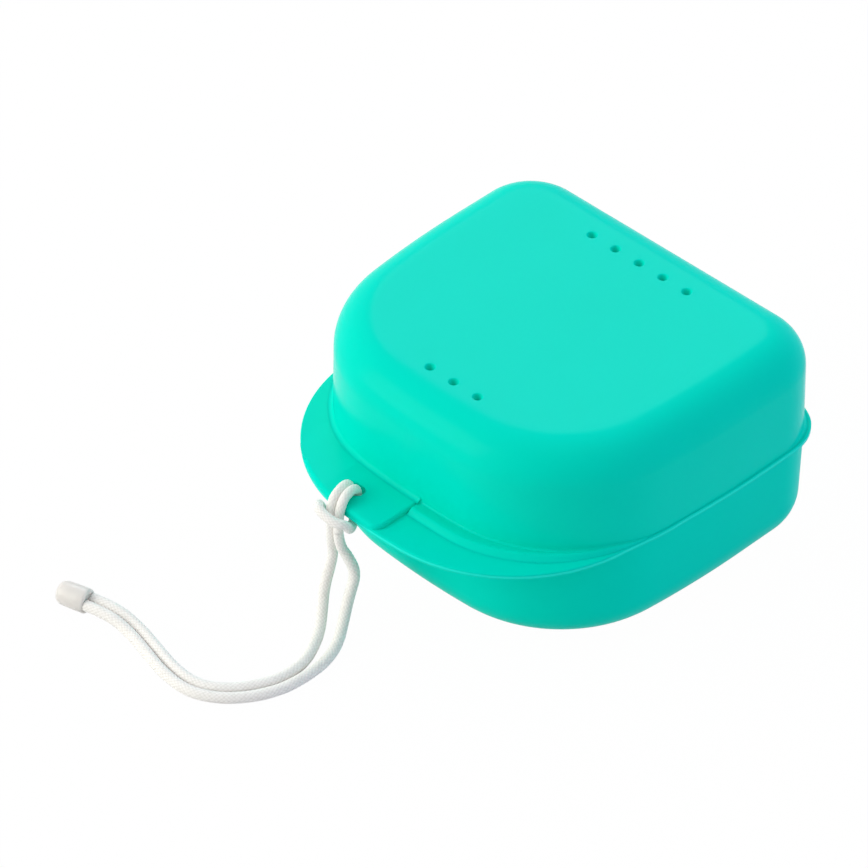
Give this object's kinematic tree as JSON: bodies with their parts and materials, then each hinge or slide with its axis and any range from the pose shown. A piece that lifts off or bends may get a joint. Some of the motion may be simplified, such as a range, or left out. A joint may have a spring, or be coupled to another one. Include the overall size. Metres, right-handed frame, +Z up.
{
  "type": "denture case",
  "caption": "Clamshell case for a denture or retainer: rounded tub and hinged domed lid with vent holes, thin front visor, and a doubled wrist cord with an end cap.",
  "frame": {"origin": "on the table under the middle of the closed case, the cord left out", "axes": "+X to the right seen from the front, -Y towards the front with the visor and the cord, +Y towards the hinge, +Z up"},
  "size_m": [0.0857, 0.1237, 0.0453],
  "materials": {
    "case_plastic": "satin gloss polypropylene, turquoise green, moulded in colour",
    "cord": "fine white braided cord",
    "end_cap": "milky translucent plastic"
  },
  "bodies": {
    "base": {"base_shell": "case_plastic", "cord_hitch": "cord", "cord_strand_left": "cord", "cord_strand_right": "cord", "cord_end_cap": "end_cap"},
    "lid": {"lid_shell": "case_plastic"}
  },
  "joints": [
    {"name": "lid_hinge", "type": "hinge", "parent": "base", "child": "lid", "pos_m": [0, 0.0409, 0.0236], "axis": [-1, 0, 0], "range_deg": [0, 180]}
  ]
}
